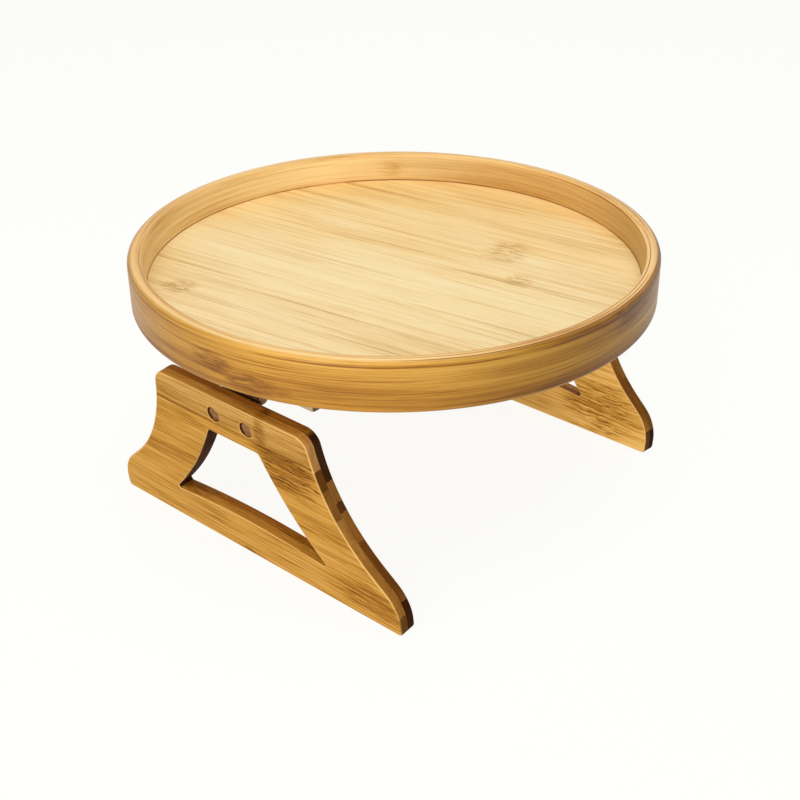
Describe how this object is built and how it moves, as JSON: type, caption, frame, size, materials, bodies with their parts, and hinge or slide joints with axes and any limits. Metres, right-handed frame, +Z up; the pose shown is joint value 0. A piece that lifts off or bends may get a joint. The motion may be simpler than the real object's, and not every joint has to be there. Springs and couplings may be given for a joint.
{
  "type": "sofa arm tray",
  "caption": "Round bamboo tray with a raised rim that stands astride a sofa arm on hinged bamboo legs with flared feet; the legs fold flat under it.",
  "frame": {"origin": "on the floor, under the middle of the tray", "axes": "+X along the sofa arm, which is the legs' width; +Y from the near leg to the far leg; +Z up"},
  "size_m": [0.3, 0.3, 0.154],
  "materials": {
    "rim_bamboo": "satin lacquered bamboo hoop",
    "floor_bamboo": "satin lacquered bamboo strips",
    "board_bamboo": "sanded bamboo",
    "leg_bamboo": "satin lacquered two-ply bamboo",
    "plug_bamboo": "end-grain bamboo",
    "hinge_steel": "dark bronze plated",
    "pin_steel": "dark bronze plated",
    "washer_steel": "spring steel",
    "screw_steel": "yellow zinc plated"
  },
  "bodies": {
    "tray": {"tray_rim": "rim_bamboo", "tray_floor": "floor_bamboo", "cross_board": "board_bamboo", "cross_board_screws": "screw_steel", "near_board_leaf": "hinge_steel", "near_board_leaf_screws": "screw_steel", "near_hinge_pin": "pin_steel", "near_hinge_washers": "washer_steel", "far_board_leaf": "hinge_steel", "far_board_leaf_screws": "screw_steel", "far_hinge_pin": "pin_steel", "far_hinge_washers": "washer_steel"},
    "near_leg": {"near_leg": "leg_bamboo", "near_leg_plugs": "plug_bamboo", "near_leg_screws": "screw_steel", "near_leg_nuts": "screw_steel", "near_leg_leaf": "hinge_steel"},
    "far_leg": {"far_leg": "leg_bamboo", "far_leg_plugs": "plug_bamboo", "far_leg_screws": "screw_steel", "far_leg_nuts": "screw_steel", "far_leg_leaf": "hinge_steel"}
  },
  "joints": [
    {"name": "near_leg_hinge", "type": "hinge", "parent": "tray", "child": "near_leg", "pos_m": [0, -0.12, 0.10581], "axis": [1, 0, 0], "range_deg": [-96.75, 83.25]},
    {"name": "far_leg_hinge", "type": "hinge", "parent": "tray", "child": "far_leg", "pos_m": [0, 0.12, 0.10581], "axis": [-1, 0, 0], "range_deg": [-96.75, 83.25]}
  ]
}
